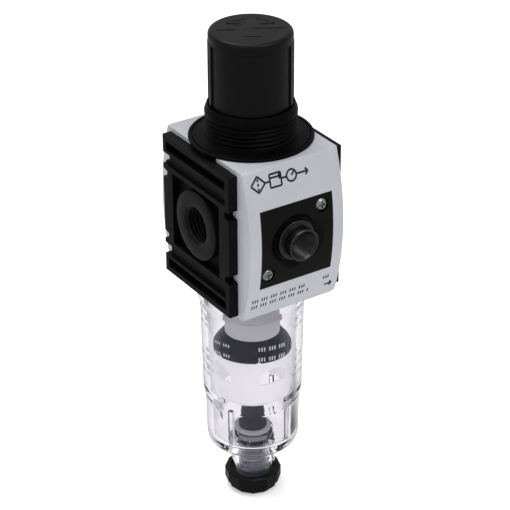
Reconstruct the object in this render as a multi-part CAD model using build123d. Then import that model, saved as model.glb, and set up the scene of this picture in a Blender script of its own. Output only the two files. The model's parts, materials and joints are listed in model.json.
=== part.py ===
from build123d import *
import os
from math import sqrt

# Filter regulator for compressed air, in millimetres: a square ported housing, a clear bowl below
# it and a round setting knob above. Everything is drawn about the port axis (z = 0), then lowered
# so that the frame's origin is the centre of the threaded neck's base. +Z is up, the air flows
# from -X to +X, and the gauge side faces -Y.

# --- driving dimensions ------------------------------------------------------------------------
NECK_BASE = 27.5          # height of the neck's base, the frame's origin, above the port axis

# housing
BODY_W = 43.0             # across the ports, X
BODY_D = 39.4             # side frames, Y
BODY_HALF_H = 25.0        # above and below the port axis
BODY_EDGE_R = 0.3         # rounding of the four upright edges
FRAME_T = 3.25            # thickness of a side frame, X
CORE_HALF_W = 16.2        # core between the covers' side walls
CORE_HALF_D = 20.0
MID_HALF_D = 15.2         # the part of the housing that is solid from side to side
PORT_RECESS = (14.0, 13.0, 2.5)     # square recess around a port: half Y, half Z, depth
DEEP_SLOT = (19.9, 23.1, 2.6)       # cross slot of a port face: low Z, high Z, depth
SHALLOW_SLOT = (14.6, 18.8, 1.2)    # the same, and open at the rear edge
SLOT_HALF_Y = 17.5
CLIP_NOTCH = (10.4, 12.5, 2.6)      # notch in both edges of a side frame: low Z, high Z, depth
REAR_NOTCH = (15.8, 18.2, 2.2)      # notch in the rear edge only

# covers and gauge plate
COVER_HALF_W = 18.2
COVER_Y = 26.7            # crown of a cover, at the port axis
COVER_R = 80.0            # radius of a cover's curved face
COVER_TOP = 26.5
COVER_BOTTOM = -25.8
COVER_WALL = 1.8
COVER_BEVEL = (2.4, 0.7)  # bevel along a cover's upright edges: width X, depth Y
COVER_CUT_R = 19.7        # round cut-out in a cover's top, around the bonnet
PLATE_HALF_W = 13.6
PLATE_TOP = 13.4
PLATE_BOTTOM = -14.1
PLATE_SCREWS = ((9.6, 9.8), (-10.8, -9.5))      # X and Z
SCREW_SHANK_R = 1.25

# ports
PORT_MINOR_R = 5.72       # G1/4 thread, minor radius
PORT_CHAMFER = 0.9
BUSHING_FLANGE_R = 11.8
BUSHING_SLEEVE_R = 8.55
BUSHING_INNER = 13.3      # distances of the bushing's steps from the axis
BUSHING_SHOULDER = 19.0
BUSHING_FACE = 21.6
GAUGE_MINOR_R = 4.28      # G1/8 thread, minor radius
ADAPTER_FOOT_R = 6.0
ADAPTER_MOUTH_R = 5.5

# bonnet, spindle and knob
NECK_R = 15.0             # M30 x 1.5 panel thread
NECK_TOP = 38.5
DISC_R = 20.3             # flange of the bonnet, on top of the covers
DISC_BOTTOM = 26.6
TOWER_R = 11.4            # spring tower inside the knob
TOWER_BORE_R = 9.4
TOWER_TOP = 54.5
TOWER_ROOF = 52.3         # underside of the tower's roof
KNOB_R = 13.05
KNOB_CAP_R = 13.5
KNOB_CAP_BOTTOM = 59.6
KNOB_RIB_R = 13.62
KNOB_TOP = 63.2
KNOB_BOTTOM = 31.0
GRIP_HEADING = -33.0      # heading of the grip ribs in degrees; the smooth panels are square to it
SPLINES = 24              # locking teeth around the tower
LOCK_TRAVEL = 2.0         # the knob is pushed down this far to lock
HEX_APOTHEM = 3.5         # the spindle's hexagon, which drives in the knob's socket
HEX_BOTTOM = 55.3
HEX_TOP = 59.5

# diaphragm and valve
DIAPHRAGM_Z = 17.5        # underside of the diaphragm
DIAPHRAGM_R = 16.9
RELIEF_TIP = 15.3         # where the poppet's pin meets the relief seat
SEAT_Z = 2.4              # lip of the valve seat, closed by the poppet from below
STEM_R = 2.0              # the poppet's stem, in the guide
STUD_R = 2.5              # the guide's stud, which carries the filter element

# bowl mount
RECESS_ROOF = -15.5       # top of the bowl's recess in the housing
RECESS_R = 16.8
PLUG_R = 16.6             # part of the bowl that goes up into the housing
LUG_R = 18.2              # bayonet lugs
LUG_BAND = (-23.2, -21.2)           # low Z, high Z of a lug
LUGS = 3
LUG_ARC = 28.0            # width of a lug, degrees
BAYONET_TURN = 40.0       # turn between locked and free, degrees

# filter, bowl and drain
ELEMENT_R = 9.2
ELEMENT_BORE_R = 6.2
ELEMENT_TOP = -19.05
ELEMENT_SEAM = -38.6
ELEMENT_BOTTOM = -44.9
BAFFLE_R = 13.3
BAFFLE_BOTTOM = -51.2
CUP_R = 12.8
CUP_BOTTOM = -68.9
BOWL_FLOOR = -86.7
BOWL_BOTTOM = -89.8
NOZZLE_BOTTOM = -100.7    # lower end of the bowl's clear drain neck
DRAIN_SEAT = -83.6
DRAIN_BORE_R = 5.0
DRAIN_RING_Z = -88.5      # O-ring of the drain body
STEM_GUIDE_R = 3.5        # the drain stem's guide in the drain body
SPRING_LEDGE = -91.0      # upper end of the drain spring
SPRING_SEAT = -98.4       # lower end of the drain spring
DRAIN_KNOB_TOP = -101.6
DRAIN_KNOB_STEP = -105.8
DRAIN_KNOB_BOTTOM = -108.7
DRAIN_FACETS = 12

FIT = 0.05                # radial clearance of running fits
SNUG = 0.02               # radial clearance of pushed-in parts


# --- shape helpers -----------------------------------------------------------------------------
def rod(radius, low, high):
    """Upright cylinder on the Z axis between two heights."""
    return Pos(0, 0, (low + high) / 2) * Cylinder(radius, abs(high - low))


def tube(outer, inner, low, high):
    return rod(outer, low, high) - rod(inner, low, high)


def x_rod(radius, x0, x1, y=0, z=0):
    """Cylinder along X."""
    return Pos((x0 + x1) / 2, y, z) * Rot(0, 90, 0) * Cylinder(radius, abs(x1 - x0))


def y_rod(radius, y0, y1, x=0, z=0):
    """Cylinder along Y."""
    return Pos(x, (y0 + y1) / 2, z) * Rot(90, 0, 0) * Cylinder(radius, abs(y1 - y0))


def block(x0, x1, y0, y1, z0, z1):
    """Box between two corners, given in any order."""
    middle = Pos((x0 + x1) / 2, (y0 + y1) / 2, (z0 + z1) / 2)
    return middle * Box(abs(x1 - x0), abs(y1 - y0), abs(z1 - z0))


def lathe(*outline, rounded=()):
    """Solid turned about Z from a closed outline of (radius, height) points.

    rounded lists the corners that are rounded, each as (radius, height, fillet radius).
    """
    face = make_face(Polyline(*outline, close=True))
    for x, z, size in rounded:
        corner = face.vertices().sort_by_distance((x, z, 0))[0]
        face = fillet(corner, size)
    return revolve(Plane.XZ * face, Axis.Z)


def around(count, shape, start=0):
    """Copies of a shape at equal angles about Z."""
    return [Rot(0, 0, start + 360 / count * i) * shape for i in range(count)]


def sector(outer, inner, low, high, centre, width):
    """Part of a tube that spans a width in degrees about a heading."""
    wedge = Cylinder(outer, high - low, arc_size=width)
    return Pos(0, 0, (low + high) / 2) * Rot(0, 0, centre - width / 2) * wedge - rod(inner, low - 1, high + 1)


def o_ring(mid_radius, wire_radius, z=0):
    return Pos(0, 0, z) * Torus(mid_radius, wire_radius)


def coil(mean_radius, wire_radius, low, high, turns):
    """Round-wire compression spring whose wire lies between two heights."""
    rise = high - low - 2 * wire_radius
    path = Pos(0, 0, low + wire_radius) * Helix(rise / turns, rise, mean_radius)
    section = Plane(origin=path @ 0, z_dir=path % 0) * Circle(wire_radius)
    return sweep(section, path=path, is_frenet=True)


def cover_arc(radius, low, high, back):
    """Closed side outline of a cover, (depth, height), bulging to -Y about the port axis."""
    centre = COVER_R - COVER_Y

    def depth(height):
        return centre - sqrt(radius ** 2 - height ** 2)

    bulge = ThreePointArc((depth(low), low), (centre - radius, 0), (depth(high), high))
    rest = Polyline((depth(high), high), (back, high), (back, low), (depth(low), low))
    return make_face(bulge + rest)


def facing(side, shape):
    """Turns an upright shape so that its top points to +X (side 1) or -X (side -1)."""
    return Rot(0, 90 * side, 0) * shape


# --- housing -----------------------------------------------------------------------------------
def edge_notch(side, edge, low, high, depth):
    """Trapezoid notch through a side frame's upright edge."""
    slope = 0.7
    mouth = edge * (BODY_D / 2 + 0.5)
    floor = edge * (BODY_D / 2 - depth)
    outline = Polyline((mouth, low - slope), (mouth, high + slope), (floor, high), (floor, low), close=True)
    cutter = extrude(Plane.YZ * make_face(outline), FRAME_T + 1)
    start = BODY_W / 2 - FRAME_T - 0.2 if side > 0 else -BODY_W / 2 - 1
    return Pos(start, 0, 0) * cutter


def side_face_cuts(side):
    """Recesses, slots and notches of one port face."""
    face = side * BODY_W / 2
    outside = face + side
    half_y, half_z, depth = PORT_RECESS
    cuts = [block(face - side * depth, outside, -half_y, half_y, -half_z, half_z)]
    for up in (1, -1):
        low, high, depth = DEEP_SLOT
        cuts.append(block(face - side * depth, outside, -SLOT_HALF_Y, SLOT_HALF_Y, up * low, up * high))
        low, high, depth = SHALLOW_SLOT
        cuts.append(block(face - side * depth, outside, -SLOT_HALF_Y, BODY_D, up * low, up * high))
        for edge, (low, high, depth) in ((-1, CLIP_NOTCH), (1, CLIP_NOTCH), (1, REAR_NOTCH)):
            low, high = sorted((up * low, up * high))
            cuts.append(edge_notch(side, edge, low, high, depth))
    return cuts


def bayonet_cuts():
    """Arc grooves for the bowl's lugs, and the slots through which the lugs enter."""
    cuts = []
    play = 2.0
    outer, inner = LUG_R + 0.2, RECESS_R - 0.5
    low, high = LUG_BAND[0] - 0.3, LUG_BAND[1] + 0.3
    for i in range(LUGS):
        locked = 90 + 360 / LUGS * i
        middle = locked + BAYONET_TURN / 2
        cuts.append(sector(outer, inner, low, high, middle, LUG_ARC + BAYONET_TURN + play))
        free = locked + BAYONET_TURN
        cuts.append(sector(outer, inner, -BODY_HALF_H - 1, low + 0.1, free, LUG_ARC + play))
    return cuts


def outer_housing():
    """Two side frames joined by the core, with the port faces' recesses."""
    bottom = -BODY_HALF_H
    outline = RectangleRounded(BODY_W, BODY_D, BODY_EDGE_R)
    body = Pos(0, 0, bottom) * extrude(outline, 2 * BODY_HALF_H)
    inner_w = BODY_W / 2 - FRAME_T
    for edge in (-1, 1):
        body -= block(-inner_w, inner_w, edge * MID_HALF_D, edge * BODY_D, bottom - 1, BODY_HALF_H + 1)
    body += block(-CORE_HALF_W, CORE_HALF_W, -CORE_HALF_D, CORE_HALF_D, bottom, BODY_HALF_H)
    for side in (-1, 1):
        for cut in side_face_cuts(side):
            body -= cut
    return body


def gauge_side(body):
    """Boss for the gauge adapter and posts for the plate's screws, with their bores."""
    boss_face = -22.6
    body += y_rod(10, boss_face, -19)
    for x, z in PLATE_SCREWS:
        body += y_rod(2.6, boss_face, -19, x, z)
        body -= y_rod(SCREW_SHANK_R + SNUG, boss_face - 1, -15.5, x, z)
    body -= y_rod(ADAPTER_FOOT_R + SNUG, boss_face - 1, -16.2)
    return body - y_rod(2.2, -17, -11)


def housing():
    top, bottom = BODY_HALF_H, -BODY_HALF_H
    body = gauge_side(outer_housing())
    for side in (-1, 1):
        body -= x_rod(BUSHING_SLEEVE_R + SNUG, side * 11.9, side * (BUSHING_FACE + 1))
        body -= x_rod(4.8, side * 8.4, side * 13)
    # outlet side of the valve: diaphragm chamber, its floor, and the passages into it
    body -= rod(DIAPHRAGM_R + 0.1, DIAPHRAGM_Z, top + 1)
    body -= rod(13.2, 13, DIAPHRAGM_Z + 0.5)
    body -= block(8.6, 12.6, -4, 4, 0, 14)
    body -= Pos(0, -12.2, 7) * Cylinder(1.4, 15)
    # inlet side of the valve: central bore, seat throat, bowl recess and inlet passage
    body -= rod(6.3, RECESS_ROOF - 1, 4)
    body -= rod(4.6 + SNUG, 3, 14)
    body -= rod(RECESS_R, bottom - 1, RECESS_ROOF)
    body -= block(-12.6, -8.6, -4, 4, RECESS_ROOF - 1, 0)
    for cut in bayonet_cuts():
        body -= cut
    # catches for the covers' hooks
    for x in (CORE_HALF_W, -CORE_HALF_W):
        for y in (17.5, -17.5):
            for z in (-18, 15):
                body -= Pos(x, y, z) * Box(1.2, 1.6, 6)
    return body


# --- covers and gauge plate --------------------------------------------------------------------
def cover():
    """Curved cover for the -Y side, without its gauge window."""
    width = 2 * COVER_HALF_W
    profile = cover_arc(COVER_R, COVER_BOTTOM, COVER_TOP, 0)
    shell = Pos(-COVER_HALF_W, 0, 0) * extrude(Plane.YZ * profile, width)
    across, inward = COVER_BEVEL
    for side_face in (shell.faces().sort_by(Axis.X)[0], shell.faces().sort_by(Axis.X)[-1]):
        edge = side_face.edges().filter_by(GeomType.CIRCLE)
        shell = chamfer(edge, inward, across, reference=side_face)
    crease = shell.faces().sort_by(Axis.Z)[-1].edges().filter_by(GeomType.LINE).sort_by(Axis.Y)[0]
    shell = fillet(crease, 0.8)
    inner_w = COVER_HALF_W - COVER_WALL
    hollow = cover_arc(COVER_R - COVER_WALL, -BODY_HALF_H - 0.05, BODY_HALF_H + 0.05, 1)
    hollow = Pos(-inner_w, 0, 0) * extrude(Plane.YZ * hollow, 2 * inner_w)
    shell -= fillet(hollow.edges().filter_by(GeomType.CIRCLE), 1.2)
    shell -= block(-30, 30, -MID_HALF_D - 0.2, 5, -BODY_HALF_H - 0.05, BODY_HALF_H + 0.05)
    shell -= block(-30, 30, -5, 5, -40, 40)
    shell -= rod(COVER_CUT_R, BODY_HALF_H - 1, COVER_TOP + 1)
    shell -= rod(LUG_R + 0.8, COVER_BOTTOM - 1, -BODY_HALF_H + 1)
    # hooks that snap into the housing's catches
    for x in (inner_w - 0.15, 0.15 - inner_w):
        for z in (-18, 15):
            shell += Pos(x, -17.5, z) * Box(0.9, 1.2, 5.6)
    return shell


def front_cover():
    gap = 0.12
    half = PLATE_HALF_W + gap
    window = block(-half, half, -COVER_Y - 2, -COVER_Y + 6, PLATE_BOTTOM - gap, PLATE_TOP + gap)
    return cover() - window


def rear_cover():
    return Rot(0, 0, 180) * cover()


def gauge_plate():
    """Black plate in the front cover's window, with a dish around the gauge connection."""
    proud = 0.1
    back = -22.7
    profile = cover_arc(COVER_R + proud, PLATE_BOTTOM, PLATE_TOP, back)
    plate = Pos(-PLATE_HALF_W, 0, 0) * extrude(Plane.YZ * profile, 2 * PLATE_HALF_W)
    plate -= y_rod(8.1, -24.1, -22)
    plate -= y_rod(7.0, -30, -22)
    dish = lathe((0, 24.9), (7.6, 24.9), (10.8, 27.2), (0, 27.2))
    plate -= Rot(90, 0, 0) * dish
    for x, z in PLATE_SCREWS:
        plate -= y_rod(SCREW_SHANK_R + 0.1, -30, -22, x, z)
        plate -= y_rod(2.4, -30, -24.9, x, z)
    return plate


def gauge_plate_screws():
    """Two self-tapping screws with domed heads and cross recesses."""
    screws = Part()
    head = lathe((0, 24.92), (2.2, 24.92), (2.2, 25.6), (1.5, 26.15), (0, 26.25))
    for x, z in PLATE_SCREWS:
        screw = Rot(90, 0, 0) * head + y_rod(SCREW_SHANK_R, -25, -16)
        for dx, dz in ((1.3, 0.3), (0.3, 1.3)):
            screw -= block(-dx, dx, -27, -25.5, -dz, dz)
        screws += Pos(x, 0, z) * screw
    return screws


def gauge_adapter():
    """Threaded gauge connection that stands out of the plate."""
    foot, mouth = ADAPTER_FOOT_R, ADAPTER_MOUTH_R
    body = lathe(
        (2.2, 17.6), (foot, 17.6), (foot, 22.65), (8.0, 22.65), (8.0, 24.0), (6.9, 24.0), (6.9, 25.9),
        (6.5, 26.3), (mouth, 26.3), (mouth, 30.2), (mouth - 0.4, 30.6), (4.9, 30.6), (GAUGE_MINOR_R, 30.0),
        (GAUGE_MINOR_R, 21.0), (2.2, 19.6),
    )
    return Rot(90, 0, 0) * body


def gauge_adapter_seal():
    return Pos(0, -16.9, 0) * Rot(90, 0, 0) * Torus(5.1, 0.69)


# --- port bushings -----------------------------------------------------------------------------
def bushing(side):
    """Flanged G1/4 bushing; the sleeve goes into the housing and the flange into its recess."""
    mouth = PORT_MINOR_R + PORT_CHAMFER
    body = lathe(
        (PORT_MINOR_R, BUSHING_INNER), (BUSHING_SLEEVE_R, BUSHING_INNER),
        (BUSHING_SLEEVE_R, BUSHING_SHOULDER), (BUSHING_FLANGE_R, BUSHING_SHOULDER),
        (BUSHING_FLANGE_R, BUSHING_FACE - 0.3), (BUSHING_FLANGE_R - 0.3, BUSHING_FACE),
        (mouth, BUSHING_FACE), (PORT_MINOR_R, BUSHING_FACE - PORT_CHAMFER),
    )
    return facing(side, body)


def bushing_seals():
    seals = Part()
    for side in (-1, 1):
        seals += facing(side, o_ring(7.4, 0.68, 12.6))
    return seals


# --- bonnet, setting spindle and knob ----------------------------------------------------------
def spline_ring(tip, root, low, high, start=0):
    """Teeth around Z, between a tip and a root radius."""
    width = 1.1
    tooth = block(min(tip, root), max(tip, root), -width / 2, width / 2, low, high)
    return around(SPLINES, tooth, start)


def bonnet():
    """Flange, threaded neck and spring tower; the skirt below clamps the diaphragm."""
    skirt_bottom = DIAPHRAGM_Z + 1.0
    skirt_r = DIAPHRAGM_R + 0.05
    spigot_r = COVER_CUT_R - 0.2
    bore, web, bevel = 13.7, 28.6, 36.4
    body = lathe(
        (13.0, skirt_bottom), (skirt_r, skirt_bottom), (skirt_r, 25.05), (spigot_r, 25.05),
        (spigot_r, DISC_BOTTOM), (DISC_R, DISC_BOTTOM), (DISC_R, NECK_BASE - 0.3), (DISC_R - 0.3, NECK_BASE),
        (19.3, NECK_BASE), (19.3, NECK_BASE - 0.5), (18.9, NECK_BASE - 0.5), (18.9, NECK_BASE),
        (NECK_R, NECK_BASE), (NECK_R, bevel), (14.1, NECK_TOP), (bore, NECK_TOP), (bore, web), (TOWER_R, web),
        (TOWER_R, TOWER_TOP), (4.1, TOWER_TOP), (4.1, TOWER_ROOF), (TOWER_BORE_R, TOWER_ROOF),
        (TOWER_BORE_R, 23.0), (13.0, 21.0),
        rounded=((NECK_R, bevel, 2.0),),
    )
    for tooth in spline_ring(11.9, 11.2, TOWER_ROOF - 1.1, TOWER_TOP):
        body += tooth
    key_slot = block(TOWER_BORE_R - 0.5, 10.4, -1.6, 1.6, 31, TOWER_ROOF)
    for slot in around(2, key_slot):
        body -= slot
    return body - y_rod(0.9, 8, 12.5, 0, 32)


def adjusting_spindle():
    """Hex-headed spindle held in the tower's roof; its lower part drives the spring nut."""
    body = lathe(
        (0, 36), (3.5, 36), (3.5, 50), (7.0, 50), (7.0, 51.7), (4.05, 51.7), (4.05, 54.55), (3.3, 54.55),
        (3.3, HEX_BOTTOM), (0, HEX_BOTTOM),
    )
    hexagon = RegularPolygon(HEX_APOTHEM, 6, major_radius=False)
    return body + Pos(0, 0, HEX_BOTTOM) * extrude(hexagon, HEX_TOP - HEX_BOTTOM)


def spindle_washer():
    return tube(6.8, 4.1, 51.75, 52.25)


def spindle_clip():
    """Open retaining ring above the tower's roof."""
    return tube(5.0, 3.35, 54.6, 55.2) - block(-1.6, 1.6, 0, 6, 54, 56)


def spring_nut():
    body = tube(9.2, 3.5 + FIT, 46, 50)
    for wing in around(2, block(8.5, 10.3, -1.5, 1.5, 46, 50)):
        body += wing
    return body


def range_spring():
    return coil(7.2, 0.95, 21.5, 45.95, 6)


def knob():
    """Push-to-lock setting knob: smooth front and rear panels, three grip ribs on each side."""
    inner_r, inner_top = 12.1, 61.8
    hub_bottom = HEX_BOTTOM + 0.2 + LOCK_TRAVEL
    body = lathe(
        (0, KNOB_TOP), (KNOB_CAP_R, KNOB_TOP), (KNOB_CAP_R, KNOB_CAP_BOTTOM), (KNOB_R, KNOB_CAP_BOTTOM - 0.4),
        (KNOB_R, KNOB_BOTTOM), (inner_r, KNOB_BOTTOM), (inner_r, inner_top), (5.3, inner_top),
        (5.3, hub_bottom), (0, hub_bottom),
        rounded=((KNOB_CAP_R, KNOB_TOP, 1.4), (inner_r, inner_top, 0.8)),
    )
    socket = RegularPolygon(HEX_APOTHEM + FIT, 6, major_radius=False)
    body -= Pos(0, 0, hub_bottom - 1) * extrude(socket, inner_top - hub_bottom + 1)
    teeth_bottom = TOWER_TOP + 0.3
    for tooth in spline_ring(11.5, inner_r + 0.2, teeth_bottom, teeth_bottom + 2, 180 / SPLINES):
        body += tooth
    rib = block(KNOB_R - 0.6, KNOB_RIB_R, -1.0, 1.0, NECK_TOP + 0.4, KNOB_CAP_BOTTOM)
    for heading in (-18, 0, 18, 162, 180, 198):
        body += Rot(0, 0, GRIP_HEADING + heading) * rib
    return body


# --- diaphragm and valve -----------------------------------------------------------------------
def diaphragm():
    """Rubber disc with one rolled fold between its clamped rim and its plates."""
    z = DIAPHRAGM_Z
    body = tube(DIAPHRAGM_R, 2.6, z, z + 1.0)
    return body - tube(12.7, 11.7, z + 0.6, z + 2) - tube(12.9, 11.5, z - 1, z + 0.3)


def diaphragm_plate():
    z = DIAPHRAGM_Z + 1.0
    return lathe(
        (2.55, z), (11.3, z), (11.3, z + 1.4), (8.6, z + 2.0), (8.6, 21.4), (6.0, 21.4), (5.6, 22.8),
        (4.4, 22.8), (2.55, 21.0),
    )


def relief_hub():
    """Hollow rivet through the diaphragm; its lower mouth is the relief seat."""
    z = DIAPHRAGM_Z
    return lathe(
        (0.8, RELIEF_TIP), (3.4, RELIEF_TIP), (5.0, z - 0.8), (5.0, z), (2.5, z), (2.5, 21.1), (0.8, 21.1),
    )


def valve_seat():
    return lathe(
        (2.6, SEAT_Z), (3.1, SEAT_Z), (3.5, 3.0), (6.2, 3.0), (6.2, 3.98), (4.6, 3.98), (4.6, 10.5),
        (3.0, 10.5), (2.6, 9.5),
    )


def poppet():
    """Disc with a pin up to the relief seat and a stem down into the guide."""
    return lathe(
        (0, -10), (STEM_R, -10), (STEM_R, -0.6), (4.3, -0.6), (4.3, 0.9), (1.2, 0.9), (1.2, RELIEF_TIP - 0.4),
        (0.8, RELIEF_TIP), (0, RELIEF_TIP),
    )


def poppet_seal():
    return tube(4.2, 1.2 + SNUG, 0.92, SEAT_Z)


def poppet_spring():
    return coil(3.1, 0.32, -5.0, -0.62, 4)


def poppet_guide():
    """Screwed into the housing: guides the poppet's stem, and its stud carries the filter element."""
    stud_bottom = BAFFLE_BOTTOM + 2.8
    bore = STEM_R + FIT
    body = lathe(
        (0, stud_bottom), (STUD_R, stud_bottom), (STUD_R, -16), (5.9, -16), (6.25, -13), (6.25, -5),
        (bore, -5), (bore, -12.5), (0, -12.5),
    )
    body -= tube(3.3, bore - 0.1, -9.7, -8.3)
    for hole in around(6, Pos(4.75, 0, -10.5) * Cylinder(1.0, 14)):
        body -= hole
    return body


def poppet_oring():
    return o_ring(2.68, 0.6, -9.0)


# --- filter ------------------------------------------------------------------------------------
def air_guide():
    """Ring with slanted slots that sets the air spinning; it also centres the element's top."""
    body = tube(13.4, 6.5, -19, -17) + tube(10.2, ELEMENT_R + 0.05, -22.5, -18)
    slot = Pos(11.6, 0, -18) * Rot(35, 0, 0) * Box(1.9, 1.3, 6)
    for cut in around(12, slot):
        body -= cut
    return body


def filter_element():
    body = tube(ELEMENT_R, ELEMENT_BORE_R, ELEMENT_SEAM, ELEMENT_TOP)
    return body + tube(ELEMENT_R - 0.7, ELEMENT_BORE_R, ELEMENT_BOTTOM + 0.9, ELEMENT_SEAM + 1)


def element_cap():
    """Moulded cup around the element's lower end."""
    outer, inner = ELEMENT_R + 0.1, ELEMENT_R - 0.68
    top, floor = ELEMENT_SEAM - 0.05, ELEMENT_BOTTOM + 0.88
    hole = STUD_R + FIT
    return lathe(
        (hole, ELEMENT_BOTTOM), (outer, ELEMENT_BOTTOM), (outer, top), (inner, top), (inner, floor),
        (hole, floor),
    )


def baffle():
    """Umbrella below the element; it keeps the collected water still and nuts the element in place."""
    top = ELEMENT_BOTTOM - 0.05
    hole = STUD_R + FIT
    rim = BAFFLE_BOTTOM + 1.5
    body = lathe(
        (hole, top), (ELEMENT_R + 0.2, top), (BAFFLE_R - 0.4, rim + 0.7), (BAFFLE_R, rim),
        (BAFFLE_R, BAFFLE_BOTTOM), (BAFFLE_R - 1.2, BAFFLE_BOTTOM), (BAFFLE_R - 1.2, rim - 0.2),
        (8.8, top - 1.6), (4.6, top - 1.6), (4.6, rim), (hole, rim),
    )
    for notch in around(6, block(BAFFLE_R - 0.8, 14, -0.6, 0.6, -55, rim + 2), GRIP_HEADING - 81):
        body -= notch
    return body


def quiet_cup():
    """Translucent collar hung from the baffle, with four arched windows."""
    shoulder = BAFFLE_BOTTOM - 0.1
    bore = CUP_R - 1.6
    body = lathe(
        (bore, shoulder + 1.2), (bore + 0.85, shoulder + 1.2), (bore + 0.85, shoulder), (CUP_R, shoulder),
        (CUP_R, CUP_BOTTOM + 1.1), (CUP_R - 0.6, CUP_BOTTOM), (bore, CUP_BOTTOM),
        (bore + 0.7, CUP_BOTTOM + 1.3), (bore + 0.7, shoulder - 0.6), (bore, shoulder),
    )
    sill = -60.5
    arch = y_rod(5.2, 5, 15, 0, sill + 1) - block(-7, 7, 0, 16, sill, -70)
    for window in around(4, arch):
        body -= window
    return body


# --- bowl and drain ----------------------------------------------------------------------------
def bowl():
    """Clear bowl with bayonet lugs, four low fins inside its wall, and a ribbed drain neck."""
    bore = DRAIN_BORE_R + SNUG
    standpipe_top = BOWL_FLOOR + 1.8
    neck_r, taper = 7.4, NOZZLE_BOTTOM + 3.2
    outer = [
        (PLUG_R, -16.0), (PLUG_R, -25.2), (18.3, -25.2), (18.3, -30.9), (17.5, -33.8), (17.3, -44),
        (16.85, -67), (16.05, -71.2), (15.85, -79.4), (15.65, BOWL_BOTTOM), (neck_r, BOWL_BOTTOM),
        (neck_r, taper), (6.4, NOZZLE_BOTTOM),
    ]
    inner = [
        (bore, NOZZLE_BOTTOM), (bore, standpipe_top), (7.0, standpipe_top), (7.0, BOWL_FLOOR),
        (13.5, BOWL_FLOOR), (13.8, -71), (14.6, -66), (15.0, -44), (15.1, -30), (13.8, -26.5), (13.8, -16.0),
    ]
    rounded = (
        (PLUG_R, -16.0, 0.6), (18.3, -30.9, 1.5), (17.5, -33.8, 1.5), (16.85, -67, 4.0), (16.05, -71.2, 4.0),
        (15.65, BOWL_BOTTOM, 4.5), (neck_r, taper, 2.0), (13.5, BOWL_FLOOR, 2.8), (13.8, -71, 4.0),
        (14.6, -66, 4.0),
    )
    body = lathe(*outer, *inner, rounded=rounded)
    body -= tube(PLUG_R + 1, 15.1, -20.1, -17.9)
    for i in range(LUGS):
        body += sector(LUG_R, PLUG_R - 0.5, *LUG_BAND, 90 + 360 / LUGS * i, LUG_ARC)
    for fin in around(4, block(12.4, 14.4, -0.75, 0.75, BOWL_FLOOR - 0.5, -71), GRIP_HEADING - 122):
        body += fin
    rib = block(6.5, 8.1, -0.6, 0.6, BOWL_BOTTOM + 0.5, NOZZLE_BOTTOM + 1.4)
    rib -= Pos(8.1, 0, NOZZLE_BOTTOM + 1) * Rot(0, -20, 0) * Box(1.2, 3, 6)
    for fin in around(4, rib, GRIP_HEADING - 114):
        body += fin
    return body


def bowl_seal():
    return o_ring(15.95, 0.83, -19.0)


def drain_body():
    """Sleeve in the bowl's drain neck; its flange is the drain seat, and its ledge holds the spring."""
    flange_bottom = BOWL_FLOOR + 1.8
    foot = NOZZLE_BOTTOM + 0.2
    body = lathe(
        (STEM_GUIDE_R, DRAIN_SEAT), (6.2, DRAIN_SEAT), (6.2, flange_bottom), (DRAIN_BORE_R, flange_bottom),
        (DRAIN_BORE_R, foot), (4.3, foot), (4.3, SPRING_LEDGE), (STEM_GUIDE_R, SPRING_LEDGE),
    )
    return body - tube(6, 4.0, DRAIN_RING_Z - 0.6, DRAIN_RING_Z + 0.6)


def drain_body_oring():
    return o_ring(4.5, 0.5, DRAIN_RING_Z)


def drain_stem():
    """Hollow stem; its foot holds the G1/8 hose connection, and the drain knob is pushed over it."""
    top = DRAIN_SEAT + 4.7
    guide_r = STEM_GUIDE_R - 0.1
    collar_r, collar_bottom = 4.2, SPRING_SEAT - 1.0
    foot_r, foot_top, foot_bottom = 6.0, DRAIN_KNOB_TOP - 1.3, DRAIN_KNOB_BOTTOM + 0.2
    bore_top = foot_top - 1.0
    body = lathe(
        (0, top), (1.8, top), (1.8, DRAIN_SEAT - 0.8), (guide_r, DRAIN_SEAT - 1.6),
        (guide_r, SPRING_LEDGE + 0.4), (2.6, SPRING_LEDGE - 0.2), (2.6, SPRING_SEAT), (collar_r, SPRING_SEAT),
        (collar_r, collar_bottom), (3.3, collar_bottom - 0.4), (3.3, foot_top), (foot_r, foot_top),
        (foot_r, foot_bottom),
        (4.9, foot_bottom), (GAUGE_MINOR_R, foot_bottom + 0.6), (GAUGE_MINOR_R, bore_top), (1.5, bore_top),
        (1.5, DRAIN_RING_Z + 0.5), (0, DRAIN_RING_Z + 1.5),
    )
    for hole in (x_rod(0.8, -4, 4, 0, DRAIN_RING_Z), y_rod(0.8, -4, 4, 0, DRAIN_RING_Z)):
        body -= hole
    for flat in around(4, block(3.0, 4, -1, 1, SPRING_LEDGE - 0.2, DRAIN_SEAT - 1.4)):
        body -= flat
    return body


def drain_seal():
    """Rubber dome that closes the drain seat from above."""
    hole = 1.8 + FIT
    top, shoulder, neck = DRAIN_SEAT + 4.6, DRAIN_SEAT + 1.4, DRAIN_SEAT + 3.6
    return lathe(
        (hole, DRAIN_SEAT), (4.9, DRAIN_SEAT), (4.9, shoulder), (2.4, neck), (2.4, top), (hole, top),
        rounded=((4.9, shoulder, 1.6), (2.4, neck, 1.2)),
    )


def drain_head():
    """Cone that holds the rubber dome on the stem."""
    foot = DRAIN_SEAT + 4.75
    top = foot + 4.25
    return lathe((0, foot), (2.6, foot), (4.1, foot + 0.55), (4.1, foot + 0.95), (3.3, top), (0, top))


def drain_spring():
    return coil(3.45, 0.38, SPRING_SEAT + 0.02, SPRING_LEDGE - 0.02, 5)


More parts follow.
